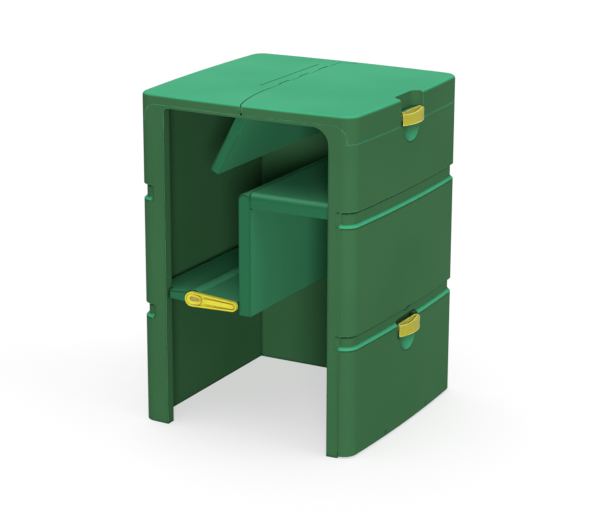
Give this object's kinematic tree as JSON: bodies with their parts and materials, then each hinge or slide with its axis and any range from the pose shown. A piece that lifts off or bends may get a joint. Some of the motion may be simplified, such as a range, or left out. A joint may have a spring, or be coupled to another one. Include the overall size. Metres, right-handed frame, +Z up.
{
  "type": "compost bin with lid",
  "caption": "Tall three-chamber compost bin with an open front, a hinged lid half, a bottom door, an inner swing flap and a lever-turned floor flap.",
  "frame": {"origin": "centre of the footprint at ground level, latches counted", "axes": "+X to the side with the latches and the door, +Y from the open front to the back, +Z up"},
  "size_m": [0.816, 0.79, 1.1],
  "materials": {
    "green_shell": "satin moulded plastic",
    "dark_inside": "satin moulded plastic",
    "yellow_handle": "gloss moulded plastic",
    "steel_pin": "brushed"
  },
  "bodies": {
    "casing": {"front_frame": "green_shell", "back_panel": "green_shell", "left_lower_panel": "green_shell", "left_middle_panel": "green_shell", "left_upper_panel": "green_shell", "right_middle_panel": "green_shell", "right_upper_panel": "green_shell", "fixed_roof": "green_shell", "partition_wall": "dark_inside", "chamber_shelf": "dark_inside", "shelf_rail": "dark_inside", "flap_stop_rail": "dark_inside", "flap_shaft_bush": "green_shell", "door_sill": "green_shell", "swing_flap_pin": "steel_pin", "lid_hinge_pin": "steel_pin", "door_hinge_pins": "steel_pin"},
    "lid": {"lid_shell": "green_shell", "lid_latch_pin": "steel_pin"},
    "lid_latch": {"lid_latch": "yellow_handle"},
    "door": {"door_shell": "green_shell", "door_latch_pin": "steel_pin"},
    "door_latch": {"door_latch": "yellow_handle"},
    "swing_flap": {"swing_flap": "dark_inside"},
    "floor_flap": {"floor_flap": "dark_inside", "flap_shaft": "steel_pin", "flap_lever": "yellow_handle"}
  },
  "joints": [
    {"name": "lid_hinge", "type": "hinge", "parent": "casing", "child": "lid", "pos_m": [-0.063, 0, 1.096], "axis": [0, -1, 0], "range_deg": [0, 95]},
    {"name": "lid_latch_pivot", "type": "hinge", "parent": "lid", "child": "lid_latch", "pos_m": [0.3765, 0, 1.04], "axis": [0, -1, 0], "range_deg": [0, 85]},
    {"name": "door_hinge", "type": "hinge", "parent": "casing", "child": "door", "pos_m": [0.368, 0, 0.024], "axis": [0, 1, 0], "range_deg": [0, 78]},
    {"name": "door_latch_pivot", "type": "hinge", "parent": "door", "child": "door_latch", "pos_m": [0.3765, 0, 0.346], "axis": [0, -1, 0], "range_deg": [0, 85]},
    {"name": "swing_flap_pivot", "type": "hinge", "parent": "casing", "child": "swing_flap", "pos_m": [-0.019, 0, 1.082], "axis": [0, 1, 0], "range_deg": [-28, 22]},
    {"name": "floor_flap_pivot", "type": "hinge", "parent": "casing", "child": "floor_flap", "pos_m": [-0.20025, 0, 0.446], "axis": [0, 1, 0], "range_deg": [0, 90]}
  ]
}
